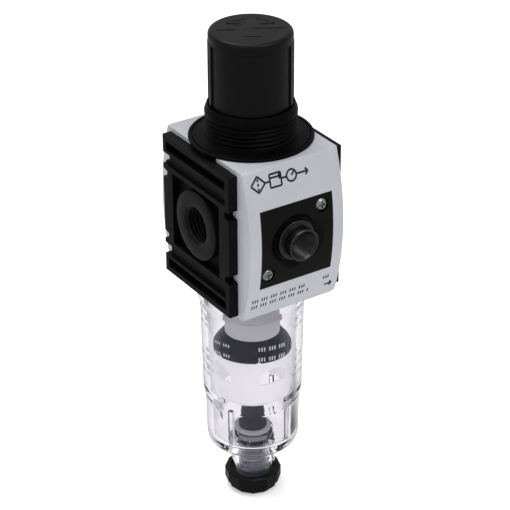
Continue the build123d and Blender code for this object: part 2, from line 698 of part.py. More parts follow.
def drain_knob():
    """Twelve-sided knob in two steps, turned to open the drain."""
    recess_floor = DRAIN_KNOB_TOP - 1.25
    upper = extrude(RegularPolygon(9.8, DRAIN_FACETS), DRAIN_KNOB_TOP - DRAIN_KNOB_STEP)
    upper = chamfer(upper.edges().group_by(Axis.Z)[-1], 0.5)
    lower = extrude(RegularPolygon(8.7, DRAIN_FACETS), DRAIN_KNOB_STEP - DRAIN_KNOB_BOTTOM + 0.1)
    lower = chamfer(lower.edges().group_by(Axis.Z)[0], 0.8)
    body = Pos(0, 0, DRAIN_KNOB_STEP) * upper + Pos(0, 0, DRAIN_KNOB_BOTTOM) * lower
    body = Rot(0, 0, GRIP_HEADING - 90) * body
    body -= rod(7.8, recess_floor, DRAIN_KNOB_TOP + 1)
    return body - rod(6.0 + SNUG, DRAIN_KNOB_BOTTOM - 1, recess_floor + 1)


# --- all nodes ---------------------------------------------------------------------------------
NODES = {
    "housing": housing,
    "front_cover": front_cover,
    "rear_cover": rear_cover,
    "gauge_plate": gauge_plate,
    "gauge_plate_screws": gauge_plate_screws,
    "gauge_adapter": gauge_adapter,
    "gauge_adapter_seal": gauge_adapter_seal,
    "inlet_bushing": lambda: bushing(-1),
    "outlet_bushing": lambda: bushing(1),
    "bushing_seals": bushing_seals,
    "bonnet": bonnet,
    "adjusting_spindle": adjusting_spindle,
    "spindle_washer": spindle_washer,
    "spindle_clip": spindle_clip,
    "spring_nut": spring_nut,
    "range_spring": range_spring,
    "knob": knob,
    "diaphragm": diaphragm,
    "diaphragm_plate": diaphragm_plate,
    "relief_hub": relief_hub,
    "valve_seat": valve_seat,
    "poppet": poppet,
    "poppet_seal": poppet_seal,
    "poppet_spring": poppet_spring,
    "poppet_guide": poppet_guide,
    "poppet_oring": poppet_oring,
    "air_guide": air_guide,
    "filter_element": filter_element,
    "element_cap": element_cap,
    "baffle": baffle,
    "quiet_cup": quiet_cup,
    "bowl": bowl,
    "bowl_seal": bowl_seal,
    "drain_body": drain_body,
    "drain_body_oring": drain_body_oring,
    "drain_stem": drain_stem,
    "drain_seal": drain_seal,
    "drain_head": drain_head,
    "drain_spring": drain_spring,
    "drain_knob": drain_knob,
}

os.makedirs("parts", exist_ok=True)
for name, make in NODES.items():
    export_step(Pos(0, 0, -NECK_BASE) * make(), f"parts/{name}.step")
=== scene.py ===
"""Looks of the filter regulator: materials, threads, printed marks, camera and light."""
import json
from math import cos, radians, sin, tau

import bmesh
import bpy
from mathutils import Matrix, Vector
from mathutils.bvhtree import BVHTree


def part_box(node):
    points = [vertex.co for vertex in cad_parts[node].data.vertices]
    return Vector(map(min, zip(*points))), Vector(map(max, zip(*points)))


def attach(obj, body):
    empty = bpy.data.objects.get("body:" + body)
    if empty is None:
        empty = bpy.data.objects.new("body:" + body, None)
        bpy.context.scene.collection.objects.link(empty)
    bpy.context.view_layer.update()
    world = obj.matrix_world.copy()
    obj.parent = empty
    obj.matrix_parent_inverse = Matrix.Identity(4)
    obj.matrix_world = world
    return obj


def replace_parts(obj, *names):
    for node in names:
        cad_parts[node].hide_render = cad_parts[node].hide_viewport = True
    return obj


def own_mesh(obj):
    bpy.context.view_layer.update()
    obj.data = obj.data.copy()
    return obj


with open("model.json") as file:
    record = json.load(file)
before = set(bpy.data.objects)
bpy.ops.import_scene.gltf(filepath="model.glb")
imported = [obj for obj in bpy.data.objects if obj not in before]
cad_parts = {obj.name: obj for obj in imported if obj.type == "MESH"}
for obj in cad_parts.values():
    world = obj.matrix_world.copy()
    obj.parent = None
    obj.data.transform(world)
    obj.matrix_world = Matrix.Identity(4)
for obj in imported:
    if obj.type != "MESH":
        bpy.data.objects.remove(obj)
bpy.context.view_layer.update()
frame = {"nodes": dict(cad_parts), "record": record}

MM = 0.001      # outlines are in mm, the scene is in metres
NODES = frame["nodes"]
SLOT_OF = {part["node"]: part["material_slot"] for part in frame["record"]["subparts"]}
JOINTS = {joint["name"]: joint for joint in frame["record"]["behaviour"]["joints"]}
LOOKS = {"drain_body": "smoky_sleeve"}      # nodes that look different from their slot
PORT_Z = sum(corner.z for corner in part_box("inlet_bushing")) / 2    # height of the port axis
BOTTOM_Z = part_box("drain_knob")[0].z
PORT_FRAME = Matrix.Translation((0, 0, PORT_Z))
CAMERA_HEADING = radians(33.254)    # camera's turn about Z, away from square on to the front
GRIP_HEADING = radians(-33)     # heading of the knob's grip ribs; its smooth panels are square to it
PRINT_LIFT = 0.03   # mm a printed mark stands above and below the surface it is printed on


# --- node helpers ------------------------------------------------------------------------------
class Shader:
    """A material under construction, with short calls for the nodes this scene uses."""

    def __init__(self, name):
        self.material = bpy.data.materials.new(name)
        self.material["slot"] = name
        self.material.use_nodes = True
        self.tree = self.material.node_tree
        self.tree.nodes.clear()
        self.output = self.tree.nodes.new("ShaderNodeOutputMaterial")
        self.place = self.tree.nodes.new("ShaderNodeTexCoord").outputs["Object"]

    def node(self, kind, inputs=None, **settings):
        made = self.tree.nodes.new("ShaderNode" + kind)
        for key, value in settings.items():
            setattr(made, key, value)
        for key, value in (inputs or {}).items():
            self.feed(made.inputs[key], value)
        return made

    def feed(self, socket, value):
        if isinstance(value, bpy.types.NodeSocket):
            self.tree.links.new(value, socket)
        else:
            socket.default_value = value

    def noise(self, size, detail=3.0, stretch=None):
        """Noise whose features are about size metres across."""
        place = self.place
        if stretch:
            place = self.node("Mapping", {"Vector": place, "Scale": stretch}).outputs["Vector"]
        inputs = {"Vector": place, "Scale": 1.0 / size, "Detail": detail, "Roughness": 0.6}
        return self.node("TexNoise", inputs).outputs["Fac"]

    def ramp(self, value, low, high, start=0.0, end=1.0):
        inputs = {"Value": value, "From Min": start, "From Max": end, "To Min": low, "To Max": high}
        return self.node("MapRange", inputs).outputs["Result"]

    def blend(self, factor, first, second):
        mix = self.node("Mix", data_type="RGBA")
        self.feed(mix.inputs["Factor"], factor)
        self.feed(mix.inputs["A"], first)
        self.feed(mix.inputs["B"], second)
        return mix.outputs["Result"]

    def math(self, operation, first, second=0.0):
        made = self.node("Math", operation=operation)
        self.feed(made.inputs[0], first)
        self.feed(made.inputs[1], second)
        return made.outputs["Value"]

    def soft_edges(self, radius):
        """Normal rounded over sharp edges, and a mask that is 1 on those edges."""
        bevel = self.node("Bevel", {"Radius": radius}, samples=4)
        true_normal = self.node("NewGeometry").outputs["Normal"]
        agree = self.node("VectorMath", {0: bevel.outputs["Normal"], 1: true_normal}, operation="DOT_PRODUCT")
        return bevel.outputs["Normal"], self.ramp(agree.outputs["Value"], 1.0, 0.0, 0.86, 0.995)

    def finish(self, shader):
        self.tree.links.new(shader, self.output.inputs["Surface"])
        return self.material


def rgba(color):
    return (color[0], color[1], color[2], 1.0)


def shade(color, factor):
    return tuple(min(1.0, channel * factor) for channel in color[:3])


# --- materials ---------------------------------------------------------------------------------
def moulded(name, color, roughness, bump=0.1, specular=0.35, edge_highlight=2.8, edge_r=0.22 * MM):
    """Moulded or painted surface: fine grain, faint clouding, and painted highlights that make sharp edges
    lighter, patchy with the clouding.
    """
    s = Shader(name)
    normal, edges = s.soft_edges(edge_r)
    clouds = s.noise(14 * MM, 2.0)
    grains = s.noise(0.35 * MM, 2.0)
    base = s.blend(s.ramp(clouds, 0.0, 1.0, 0.35, 0.65), rgba(shade(color, 0.97)), rgba(shade(color, 1.03)))
    # painted highlight: sharp edges are drawn lighter, patchy with the clouding
    base = s.blend(s.math("MULTIPLY", edges, s.ramp(clouds, 0.35, 0.8)), base, rgba(shade(color, edge_highlight)))
    rough = s.ramp(s.noise(5 * MM), roughness - 0.05, roughness + 0.07, 0.3, 0.7)
    bumped = s.node("Bump", {"Strength": bump, "Distance": 0.05 * MM, "Height": grains, "Normal": normal})
    shader = s.node("BsdfPrincipled", {
        "Base Color": base, "Roughness": rough, "Specular IOR Level": specular,
        "Normal": bumped.outputs["Normal"],
    })
    return s.finish(shader.outputs["BSDF"])


def metal(name, color, roughness, streak=(1, 1, 1)):
    """Bare or plated metal with fine turning or drawing marks."""
    s = Shader(name)
    normal, edges = s.soft_edges(0.1 * MM)
    marks = s.noise(0.5 * MM, 3.0, streak)
    base = s.blend(s.ramp(marks, 0.0, 1.0, 0.3, 0.7), rgba(shade(color, 0.86)), rgba(shade(color, 1.08)))
    bumped = s.node("Bump", {"Strength": 0.1, "Distance": 0.03 * MM, "Height": marks, "Normal": normal})
    shader = s.node("BsdfPrincipled", {
        "Base Color": base, "Metallic": 1.0, "Normal": bumped.outputs["Normal"],
        "Roughness": s.ramp(marks, roughness - 0.08, roughness + 0.1, 0.3, 0.7),
    })
    return s.finish(shader.outputs["BSDF"])


def rubber(name, color):
    """Black rubber with a faint, patchy bloom."""
    s = Shader(name)
    bloom = s.noise(2.5 * MM, 4.0)
    base = s.blend(s.ramp(bloom, 0.0, 1.0, 0.35, 0.7), rgba(color), rgba(shade(color, 1.7)))
    bumped = s.node("Bump", {"Strength": 0.25, "Distance": 0.04 * MM, "Height": s.noise(0.3 * MM)})
    shader = s.node("BsdfPrincipled", {
        "Base Color": base, "Roughness": 0.55, "Specular IOR Level": 0.4, "Normal": bumped.outputs["Normal"],
    })
    return s.finish(shader.outputs["BSDF"])


def sintered(name, color):
    """Open-pored filter material, with painted shade darkening the pits of its pores."""
    s = Shader(name)
    pores = s.node("TexVoronoi", {"Vector": s.place, "Scale": 1.0 / (0.45 * MM)})
    # painted shade: the colour darkens towards the pits of the pores, where the bump sinks
    depth = s.ramp(pores.outputs["Distance"], 0.0, 1.0, 0.1, 0.7)
    base = s.blend(depth, rgba(shade(color, 0.86)), rgba(color))
    bumped = s.node("Bump", {"Strength": 0.4, "Distance": 0.08 * MM, "Height": pores.outputs["Distance"]})
    shader = s.node("BsdfPrincipled", {
        "Base Color": base, "Roughness": 0.8, "Specular IOR Level": 0.2, "Normal": bumped.outputs["Normal"],
    })
    return s.finish(shader.outputs["BSDF"])


def clear(name, tint, rim):
    """Clear polycarbonate: refracts what is behind it, darker where the wall is seen edge-on.

    Its reflection is kept weak and cool, so that dark pieces behind it stay dark.
    """
    s = Shader(name)
    edge_on = s.node("LayerWeight", {"Blend": 0.5}).outputs["Facing"]
    tone = s.blend(s.ramp(edge_on, 0.0, 1.0, 0.35, 0.95), rgba(tint), rgba(rim))
    waves = s.noise(9 * MM, 1.0, (1, 1, 0.3))
    flow = s.node("Bump", {"Strength": 0.04, "Distance": 0.2 * MM, "Height": waves})
    glass = s.node("BsdfPrincipled", {
        "Base Color": tone, "Roughness": 0.02, "IOR": 1.4, "Transmission Weight": 1.0,
        "Specular Tint": (0.5, 0.53, 0.66, 1.0), "Normal": flow.outputs["Normal"],
    })
    passing = s.node("BsdfTransparent", {"Color": (0.96, 0.96, 0.965, 1.0)})
    shadow = s.node("LightPath").outputs["Is Shadow Ray"]
    mix = s.node("MixShader", {0: shadow, 1: glass.outputs["BSDF"], 2: passing.outputs["BSDF"]})
    return s.finish(mix.outputs["Shader"])


def frosted(name, color, through, glow=0.0, tint=None, milky_from=None):
    """Moulding that lets part of the light through, less where it is seen edge-on.

    glow stands for the light that spreads inside a milky wall; tint colours the light that passes.
    Above the height milky_from the wall is thick, and lets only the share milky_share of that through.
    """
    milky_share = 0.3
    s = Shader(name)
    edge_on = s.node("LayerWeight", {"Blend": 0.4}).outputs["Facing"]
    clouds = s.noise(4 * MM, 2.0)
    base = s.blend(s.ramp(clouds, 0.0, 1.0, 0.35, 0.65), rgba(shade(color, 0.97)), rgba(color))
    solid = s.node("BsdfPrincipled", {
        "Base Color": base, "Roughness": 0.35, "Specular IOR Level": 0.5,
        "Emission Color": rgba(color), "Emission Strength": glow,
    })
    passing = s.node("BsdfTransparent", {"Color": rgba(tint or color)})
    share = s.ramp(edge_on, through, through / 3, 0.4, 1.0)
    if milky_from is not None:
        height = s.node("SeparateXYZ", {"Vector": s.place}).outputs["Z"]
        thick = s.ramp(height, 1.0, milky_share, milky_from - 1 * MM, milky_from)
        share = s.math("MULTIPLY", share, thick)
    mix = s.node("MixShader", {0: share, 1: solid.outputs["BSDF"], 2: passing.outputs["BSDF"]})
    return s.finish(mix.outputs["Shader"])


def make_materials():
    """One material per slot of the record, under its name, two special looks and three for printed marks."""
    sleeve_flange_z = PORT_Z - 89 * MM
    made = [
        moulded("black_housing", (0.0024, 0.0024, 0.0028), 0.48, bump=0.12, specular=0.10),
        moulded("black_plate", (0.0026, 0.0026, 0.0031), 0.36, bump=0.05, specular=0.12),
        moulded("black_zinc", (0.0030, 0.0030, 0.0035), 0.38, bump=0.15, specular=0.12),
        moulded("black_fitting", (0.0035, 0.0034, 0.0034), 0.24, bump=0.05, specular=0.5),
        moulded("black_bonnet", (0.0012, 0.0012, 0.0014), 0.42, bump=0.05, specular=0.05),
        moulded("black_knob", (0.0022, 0.0022, 0.0025), 0.38, bump=0.06, specular=0.15),
        moulded("dark_baffle", (0.004, 0.005, 0.010), 0.42, bump=0.05, specular=0.1),
        moulded("grey_cover", (0.455, 0.468, 0.505), 0.45, bump=0.05, edge_highlight=1.25, edge_r=0.35 * MM),
        moulded("grey_cap", (0.70, 0.695, 0.73), 0.45, bump=0.05, edge_highlight=1.15),
        moulded("white_acetal", (0.78, 0.78, 0.74), 0.35, bump=0.05, edge_highlight=1.1),
        sintered("sintered_filter", (0.65, 0.645, 0.68)),
        rubber("seal_rubber", (0.008, 0.008, 0.009)),
        rubber("black_rubber", (0.004, 0.004, 0.006)),
        metal("zinc_screw", (0.36, 0.37, 0.38), 0.28),
        metal("zinc_steel", (0.68, 0.68, 0.68), 0.32, (1, 1, 8)),
        metal("spring_steel", (0.58, 0.58, 0.57), 0.28),
        metal("brass", (0.80, 0.58, 0.26), 0.28, (1, 1, 10)),
        frosted("frosted_cup", (0.92, 0.915, 0.93), 0.15, 0.27),
        frosted("smoked_plastic", (0.04, 0.045, 0.065), 0.1),
        frosted("smoky_sleeve", (0.56, 0.565, 0.60), 0.84, 0.0, (0.92, 0.92, 0.95), sleeve_flange_z),
        clear("clear_bowl", (0.79, 0.78, 0.805), (0.36, 0.36, 0.40)),
        moulded("print_black", (0.008, 0.009, 0.013), 0.5, bump=0.05, edge_highlight=1.1),
        moulded("print_white", (0.50, 0.50, 0.53), 0.6, bump=0.05, edge_highlight=1.0),
        moulded("print_grey", (0.45, 0.45, 0.49), 0.6, bump=0.05, edge_highlight=1.0),
    ]
    return {material["slot"]: material for material in made}


MATERIALS = make_materials()


def dress(piece, slot, look):
    """Gives a piece the material look, or else its slot's."""
    piece.data.materials.clear()
    piece.data.materials.append(MATERIALS[look or slot])


def dress_cad_nodes():
    """Every CAD node gets the material of its slot, or its own look."""
    for name, node in NODES.items():
        node.data.materials.clear()
        node.data.materials.append(MATERIALS[LOOKS.get(name, SLOT_OF[name])])


# --- mesh helpers ------------------------------------------------------------------------------
def mesh_piece(name, points, faces, body, slot, sharp=35, look=None):
    """A closed mesh piece that rides on a CAD body; edges over sharp degrees are drawn sharp."""
    same_place = 1e-7
    mesh = bpy.data.meshes.new(name)
    mesh.from_pydata([tuple(p) for p in points], [], faces)
    work = bmesh.new()
    work.from_mesh(mesh)
    bmesh.ops.remove_doubles(work, verts=work.verts, dist=same_place)
    bmesh.ops.dissolve_degenerate(work, edges=work.edges, dist=same_place)
    bmesh.ops.recalc_face_normals(work, faces=work.faces)
    work.to_mesh(mesh)
    work.free()
    mesh.polygons.foreach_set("use_smooth", [True] * len(mesh.polygons))
    mesh.set_sharp_from_angle(angle=radians(sharp))
    piece = bpy.data.objects.new(name, mesh)
    bpy.context.scene.collection.objects.link(piece)
    dress(piece, slot, look)
    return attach(piece, body)


def ring_faces(rows, rings, closed=True):
    """Faces between rings of points that follow one another; each ring has the same number of rows."""
    faces = []
    for j in range(rings if closed else rings - 1):
        following = (j + 1) % rings
        for i in range(rows):
            k = (i + 1) % rows
            faces.append((j * rows + i, following * rows + i, following * rows + k, j * rows + k))
    return faces


def triangle_wave(turns):
    """0 to 1 and back over one turn."""
    part = turns % 1.0
    return 1.0 - abs(2.0 * part - 1.0)


def threaded_lathe(outline, wall, pitch, depth, segments=160):
    """Points and faces of a solid turned about Z, in mm, one wall of which carries a thread.

    outline is closed; wall is the index of the threaded wall's first point. A positive depth cuts
    the thread outwards into a bore, and a negative one cuts it inwards into a shaft. The thread runs
    out over half a pitch at both ends.
    """
    steps_per_pitch = 8
    start, end = outline[wall], outline[(wall + 1) % len(outline)]
    count = max(2, round(abs(end[1] - start[1]) / pitch * steps_per_pitch))
    profile = []
    for index, (r, z) in enumerate(outline):
        profile.append((r, z, False))
        if index == wall:
            for k in range(1, count):
                share = k / count
                step = (start[0] + (end[0] - start[0]) * share, start[1] + (end[1] - start[1]) * share)
                profile.append((*step, True))
    low, high = sorted((start[1], end[1]))
    points = []
    for j in range(segments):
        angle = tau * j / segments
        for r, z, threaded in profile:
            if threaded:
                run_out = min(1.0, min(z - low, high - z) / (0.5 * pitch))
                r = r + depth * run_out * triangle_wave(z / pitch - angle / tau)
            points.append(Vector((r * cos(angle), r * sin(angle), z)))
    return points, ring_faces(len(profile), segments)


def placed(points, matrix):
    """Points in mm, turned and moved by a matrix into the scene."""
    return [matrix @ (point * MM) for point in points]


# --- threaded pieces ---------------------------------------------------------------------------
def threaded_bonnet():
    """Flange, M30 x 1.5 neck and spring tower, with the neck's thread cut."""
    neck_r, neck_low, neck_high = 15.0, 27.9, 35.6
    pitch, depth = 1.5, 0.8
    outline = [
        (13.0, 18.5), (16.95, 18.5), (16.95, 25.05), (19.5, 25.05), (19.5, 26.6), (20.2, 26.6), (20.3, 26.7),
        (20.3, 27.2), (20.2, 27.4), (20.0, 27.5), (19.4, 27.5), (19.3, 27.4), (19.3, 27.0), (18.9, 27.0),
        (18.9, 27.4), (18.8, 27.5), (neck_r + 0.2, 27.5), (neck_r, 27.6), (neck_r, neck_low),
        (neck_r, neck_high), (neck_r, 36.0), (14.85, 36.6), (14.55, 37.3), (14.2, 38.3), (14.05, 38.5),
        (13.8, 38.5), (13.7, 38.4), (13.7, 28.6), (11.4, 28.6), (11.4, 54.3), (11.2, 54.5), (4.1, 54.5),
        (4.1, 52.3), (9.4, 52.3), (9.4, 23.0), (13.0, 21.0),
    ]
    points, faces = threaded_lathe(outline, outline.index((neck_r, neck_low)), pitch, -depth)
    piece = mesh_piece("bonnet_threaded", placed(points, PORT_FRAME), faces, "body", "black_bonnet", 40)
    cut_key_slots(piece)
    add_splines(piece)
    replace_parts(piece, "bonnet")


def box_points(x0, x1, y0, y1, z0, z1):
    """Corners in mm and faces of an upright box."""
    corners = [Vector((x, y, z)) for x in (x0, x1) for y in (y0, y1) for z in (z0, z1)]
    faces = [(0, 1, 3, 2), (4, 6, 7, 5), (0, 4, 5, 1), (2, 3, 7, 6), (0, 2, 6, 4), (1, 5, 7, 3)]
    return corners, faces


def add_box(work, corners_and_faces, matrix):
    """Adds box_points' box to a mesh being edited."""
    points, faces = corners_and_faces
    made = [work.verts.new(p) for p in placed(points, matrix)]
    for face in faces:
        work.faces.new([made[i] for i in face])


def cut_key_slots(piece):
    """The spring nut's wings slide in two slots of the tower."""
    inner, outer, half_width = 8.9, 10.45, 1.65
    bottom, top = 31, 52.3
    work = bmesh.new()
    for side in (-1, 1):
        low, high = sorted((side * inner, side * outer))
        add_box(work, box_points(low, high, -half_width, half_width, bottom, top), PORT_FRAME)
    mesh = bpy.data.meshes.new("key_slot_cutter")
    bmesh.ops.recalc_face_normals(work, faces=work.faces)
    work.to_mesh(mesh)
    work.free()
    cutter = bpy.data.objects.new("key_slot_cutter", mesh)
    bpy.context.scene.collection.objects.link(cutter)
    modifier = piece.modifiers.new("key_slots", "BOOLEAN")
    modifier.operation = "DIFFERENCE"
    modifier.solver = "EXACT"
    modifier.object = cutter
    apply_modifiers(piece)
    bpy.data.objects.remove(cutter)


def apply_modifiers(piece):
    """Turns a piece's modifiers into mesh."""
    bpy.context.view_layer.update()
    evaluated = piece.evaluated_get(bpy.context.evaluated_depsgraph_get())
    mesh = bpy.data.meshes.new_from_object(evaluated)
    piece.modifiers.clear()
    piece.data = mesh


def add_splines(piece):
    """Locking teeth near the tower's top, joined to the tower's wall."""
    count, root, tip, half_width = 24, 11.3, 11.9, 0.55
    bottom, top = 51.2, 54.45
    work = bmesh.new()
    work.from_mesh(piece.data)
    for tooth in range(count):
        turn = Matrix.Rotation(tau * tooth / count, 4, "Z")
        add_box(work, box_points(root, tip, -half_width, half_width, bottom, top), PORT_FRAME @ turn)
    work.to_mesh(piece.data)
    work.free()


def threaded_bushing(side, node):
    """Flanged G1/4 bushing with its thread cut."""
    minor, depth, pitch = 5.72, 0.86, 1.337
    outline = [
        (minor + 0.7, 13.3), (8.5, 13.3), (8.55, 13.4), (8.55, 19.0), (11.8, 19.0), (11.8, 21.3),
        (11.7, 21.5), (11.5, 21.6), (6.75, 21.6), (6.6, 21.55), (5.95, 20.8), (minor, 20.5), (minor, 13.9),
    ]
    points, faces = threaded_lathe(outline, outline.index((minor, 20.5)), pitch, depth)
    turn = Matrix.Rotation(radians(90 * side), 4, "Y")
    piece = mesh_piece(node + "_threaded", placed(points, PORT_FRAME @ turn), faces, "body", "black_zinc")
    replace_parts(piece, node)


def threaded_adapter():
    """Gauge connection with its G1/8 thread cut."""
    minor, depth, pitch = 4.28, 0.58, 0.907
    outline = [
        (2.2, 17.6), (6.0, 17.6), (6.0, 22.65), (8.0, 22.65), (8.0, 24.0), (6.9, 24.0), (6.9, 25.8),
        (6.8, 26.1), (6.5, 26.3), (5.6, 26.3), (5.5, 26.4), (5.5, 30.2), (5.4, 30.45), (5.2, 30.6),
        (5.0, 30.6), (4.9, 30.55), (4.5, 30.1), (minor, 29.8), (minor, 21.0), (2.2, 19.6),
    ]
    points, faces = threaded_lathe(outline, outline.index((minor, 29.8)), pitch, depth)
    turn = Matrix.Rotation(radians(90), 4, "X")
    node = "gauge_adapter"
    piece = mesh_piece(node + "_threaded", placed(points, PORT_FRAME @ turn), faces, "body", "black_zinc",
                       look="black_fitting")
    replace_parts(piece, node)


# --- springs, and the diaphragm whose centre rides on the sensing body -------------------------
def coil_spring(node, wire_r, turns, body, joint):
    """Round-wire spring in place of a CAD spring; the joint's travel is looked up but does not squeeze it."""
    low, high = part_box(node)
    wire = wire_r * MM
    mean_r = high.x - wire
    length = high.z - low.z
    section, steps = 12, 40 * turns
    points = []
    for j in range(steps + 1):
        angle = tau * turns * j / steps
        outwards = Vector((cos(angle), sin(angle), 0))
        centre = outwards * mean_r + Vector((0, 0, low.z + wire + (length - 2 * wire) * j / steps))
        for i in range(section):
            turn = tau * i / section
            points.append(centre + (outwards * cos(turn) + Vector((0, 0, sin(turn)))) * wire)
    last = section * steps
    faces = ring_faces(section, steps + 1, closed=False)
    faces += [tuple(range(section)), tuple(range(last + section - 1, last - 1, -1))]
    piece = mesh_piece(node + "_coil", points, faces, body, "spring_steel")
    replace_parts(piece, node)
    travel = max(abs(limit) for limit in JOINTS[joint]["range_m"])
    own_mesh(piece)


def springs():
    """Wire radius in mm, turns, body that carries it and the joint whose travel is looked up; no spring is
    squeezed.
    """
    coil_spring("range_spring", 0.95, 6, "body", "nut_travel")
    coil_spring("poppet_spring", 0.32, 4, "body", "poppet_lift")
    coil_spring("drain_spring", 0.38, 5, "bowl", "drain_lift")


def rolling_diaphragm():
    """The rim stays clamped and the centre follows the plates; the fold's two walls slide past each other."""
    low, top, fold_top = 17.5, 18.5, 19.6
    wall = 0.45
    hole, inner, split, outer = 2.6, 12.23, 12.27, 16.9
    rim = [
        (split, low), (outer, low), (outer, top), (split + wall, top), (split + wall, fold_top),
        (split, fold_top),
    ]
    centre = [
        (hole, low), (inner, low), (inner, fold_top), (inner - wall, fold_top), (inner - wall, top),
        (hole, top),
    ]
    for name, outline, body in (("diaphragm_rim", rim, "body"), ("diaphragm_centre", centre, "sensing")):
        segments = 96
        angles = [tau * j / segments for j in range(segments)]
        points = [Vector((r * cos(angle), r * sin(angle), z)) for angle in angles for r, z in outline]
        faces = ring_faces(len(outline), segments)
        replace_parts(mesh_piece(name, placed(points, PORT_FRAME), faces, body, "seal_rubber"), "diaphragm")


# --- printed and raised marks ------------------------------------------------------------------
class Skin:
    """The outer surface of a CAD node, found by looking at it from outside."""

    def __init__(self, node):
        mesh = NODES[node].data
        points = [vertex.co.copy() for vertex in mesh.vertices]
        self.tree = BVHTree.FromPolygons(points, [tuple(p.vertices) for p in mesh.polygons])

    def hit(self, origin, direction):
        """Where a look from origin meets the surface, and the normal there."""
        place, normal, _, _ = self.tree.ray_cast(Vector(origin), Vector(direction).normalized())
        return place, normal


def strip(path, width, thickness, spread):
    """Points and faces of a ribbon laid along path; spread turns a flat point and a lift into a place."""
    points, faces = [], []
    for index, here in enumerate(path):
        before = path[max(index - 1, 0)]
        after = path[min(index + 1, len(path) - 1)]
        along = Vector((after[0] - before[0], after[1] - before[1])).normalized()
        across = Vector((-along.y, along.x)) * width / 2
        for side, lift in ((1, thickness), (-1, thickness), (-1, -thickness), (1, -thickness)):
            points.append(spread(here[0] + side * across.x, here[1] + side * across.y, lift))
    for index in range(len(path) - 1):
        a, b = 4 * index, 4 * index + 4
        for k in range(4):
            n = (k + 1) % 4
            faces.append((a + k, a + n, b + n, b + k))
    last = 4 * (len(path) - 1)
    faces.append((3, 2, 1, 0))
    faces.append((last, last + 1, last + 2, last + 3))
    return points, faces


def line(start, end, pieces=8):
    """Flat points evenly spaced from start to end."""
    return [(start[0] + (end[0] - start[0]) * k / pieces, start[1] + (end[1] - start[1]) * k / pieces)
            for k in range(pieces + 1)]


def arc(centre, radius, first, last, pieces=24):
    """Flat points evenly spaced around a centre, from one angle to another."""
    return [(centre[0] + radius * cos(first + (last - first) * k / pieces),
             centre[1] + radius * sin(first + (last - first) * k / pieces)) for k in range(pieces + 1)]


def marks(name, strokes, thickness, spread, body, slot):
    """Joins several ribbons, each (path, width) in mm, into one piece."""
    points, faces = [], []
    for path, width in strokes:
        more, their_faces = strip(path, width, thickness, spread)
        offset = len(points)
        points += more
        faces += [tuple(offset + i for i in face) for face in their_faces]
    return mesh_piece(name, points, faces, body, slot, 30)


def arrow(tip, length, width, stroke):
    """Flow arrow pointing to +X: a shaft and two barbs."""
    x, z = tip
    return [
        (line((x - length, z), (x, z)), stroke),
        (line((x - width, z + width), (x, z)), stroke),
        (line((x - width, z - width), (x, z)), stroke),
    ]


def symbol_strokes(x, z, size):
    """Plain circuit symbol in a row: filter diamond, regulator square, gauge circle and outlet arrow."""
    stroke = 0.62
    half = size / 2
    diamond = [(x - half, z), (x, z + half), (x + half, z), (x, z - half)]
    strokes = [(line(diamond[k], diamond[(k + 1) % 4]), stroke) for k in range(4)]
    for k in range(3):
        low = z - half * 0.75 + k * half * 0.56
        strokes.append((line((x, low), (x, low + half * 0.34)), stroke))
    left = x + half + 0.35 * size
    right = left + 0.8 * size
    strokes.append((line((x + half, z), (left, z)), stroke))
    low, high = z - 0.4 * size, z + 0.4 * size
    square = [(left, low), (left, high), (right, high), (right, low)]
    strokes += [(line(square[k], square[(k + 1) % 4]), stroke) for k in range(4)]
    strokes += arrow((right, z + 0.18 * size), size * 0.8, size * 0.16, stroke)
    dial = (right + 0.75 * size, z)
    strokes.append((line((right, z), (dial[0] - 0.35 * size, z)), stroke))
    strokes.append((arc(dial, 0.35 * size, 0, tau), stroke))
    strokes.append((line(dial, (dial[0] + 0.2 * size, z + 0.2 * size)), stroke))
    strokes += arrow((dial[0] + 1.2 * size, z), 0.85 * size, 0.2 * size, stroke)
    return strokes


def tick_row(start, z, count, height):
    """Row of upright ticks, every fourth one left out."""
    step, width = 0.9, 0.42
    return [(line((start + step * k, z), (start + step * k, z + height), 2), width)
            for k in range(count) if k % 4 != 3]


def cover_prints():
    """Dark printed marks on the front cover: a circuit symbol, rows of plain ticks and a flow arrow."""
    skin = Skin("front_cover")
    outside_y = -60 * MM

    def spread(x, z, lift):
        place, normal = skin.hit((x * MM, outside_y, PORT_Z + z * MM), (0, 1, 0))
        return place + normal * lift * MM

    symbol = symbol_strokes(x=-13.0, z=22.2, size=5.2)
    flow = arrow((15.2, -21.2), length=2.8, width=0.9, stroke=0.6)
    left, right = -15.8, 11.6
    rows = tick_row(left, -19.3, 23, 1.3) + tick_row(left, -21.7, 25, 1.3) + tick_row(right, -18.6, 4, 1.2)
    for name, strokes in (("print_symbol", symbol), ("print_arrow", flow), ("print_ticks", rows)):
        marks(name, strokes, PRINT_LIFT, spread, "body", "print_black")


def bowl_prints():
    """Pale ticks and bars printed on the bowl, with grey level marks low down on both sides."""
    skin = Skin("bowl")
    view = radians(-90) + GRIP_HEADING
    bowl_r = 17.2       # turns distances along the wall into angles
    outside_r = 50 * MM

    def spread(along, z, lift):
        angle = view + along / bowl_r
        outside = Vector((cos(angle), sin(angle), 0)) * outside_r
        place, normal = skin.hit(outside + Vector((0, 0, PORT_Z + z * MM)), -outside)
        return place + normal * lift * MM

    front_rows = (-44.5, -48.5)
    side_rows = (-33.0, -36.5, -40.0, -52.0, -55.5, -59.0)
    rows = []
    for z in front_rows:
        rows += tick_row(2.2, z, 11, 1.5)
        rows += tick_row(-13.6, z + 0.6, 7, 1.1)
    for z in side_rows:
        for start in (-23.0, 16.0):
            rows += tick_row(start, z, 8, 1.4)
    marks("bowl_print_light", rows, PRINT_LIFT, spread, "bowl", "print_white")
    level = []
    near, far, top_row, row_step, bar_width = 11.2, 15.4, -67.6, 1.2, 0.9
    for side in (-1, 1):
        for row in range(3):
            z = top_row - row_step * row
            level.append((line((side * near, z), (side * far, z)), bar_width))
    marks("bowl_print_grey", level, PRINT_LIFT, spread, "bowl", "print_grey")


